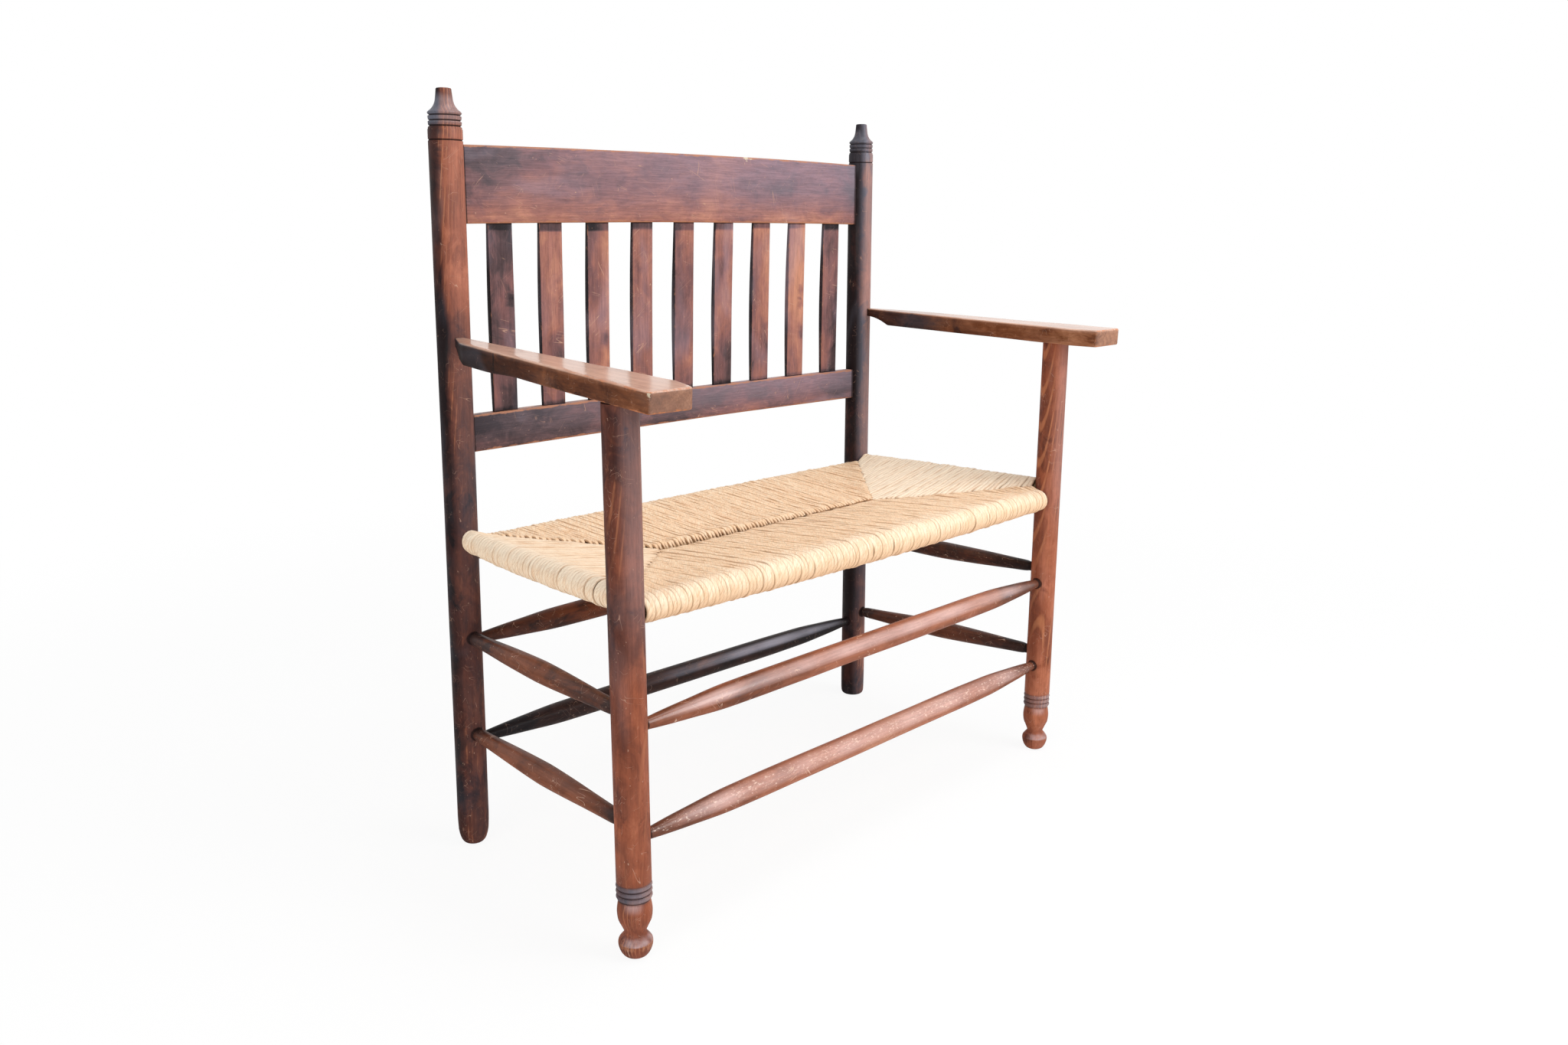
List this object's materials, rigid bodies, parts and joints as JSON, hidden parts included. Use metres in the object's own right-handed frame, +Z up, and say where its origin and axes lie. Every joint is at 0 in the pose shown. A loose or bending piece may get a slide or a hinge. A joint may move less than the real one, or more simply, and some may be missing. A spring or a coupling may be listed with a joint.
{
  "type": "rush-seat settle bench",
  "caption": "Rush-seated settle with turned posts, a slatted back between bowed rails, flat sloping arms and double-tapered turned stretchers.",
  "frame": {"origin": "on the floor, under the middle of the settle's outline", "axes": "+Z up, +Y towards the back, +X to the right as seen from the front"},
  "size_m": [0.9222, 0.4662, 0.9705],
  "materials": {
    "post_wood": "old stained and oiled wood, dark red-brown, worn to orange on the turned feet and bearing faces, satin",
    "back_wood": "old stained wood with dark bluish blotches and warm worn streaks along the grain, satin",
    "arm_wood": "honey-brown wood worn smooth and shiny by hands, edges rubbed to orange",
    "stretcher_wood": "stained hardwood, satin with a pale sheen, scuffed on top at the front, near black at the back",
    "rail_wood": "bare pale hardwood, hidden under the rush",
    "rush": "twisted rush cord, pale straw with cream highlights and browner strands, matt"
  },
  "bodies": {
    "root": {"front_post_left": "post_wood", "front_post_right": "post_wood", "rear_post_left": "post_wood", "rear_post_right": "post_wood", "crest_rail": "back_wood", "lower_back_rail": "back_wood", "back_slat_1": "back_wood", "back_slat_2": "back_wood", "back_slat_3": "back_wood", "back_slat_4": "back_wood", "back_slat_5": "back_wood", "back_slat_6": "back_wood", "back_slat_7": "back_wood", "back_slat_8": "back_wood", "back_slat_9": "back_wood", "arm_left": "arm_wood", "arm_right": "arm_wood", "stretcher_front_upper": "stretcher_wood", "stretcher_front_lower": "stretcher_wood", "stretcher_rear_upper": "stretcher_wood", "stretcher_rear_lower": "stretcher_wood", "stretcher_left_upper": "stretcher_wood", "stretcher_left_lower": "stretcher_wood", "stretcher_right_upper": "stretcher_wood", "stretcher_right_lower": "stretcher_wood", "seat_rail_front": "rail_wood", "seat_rail_rear": "rail_wood", "seat_rail_left": "rail_wood", "seat_rail_right": "rail_wood", "rush_front": "rush", "rush_rear": "rush", "rush_left": "rush", "rush_right": "rush"}
  },
  "joints": []
}
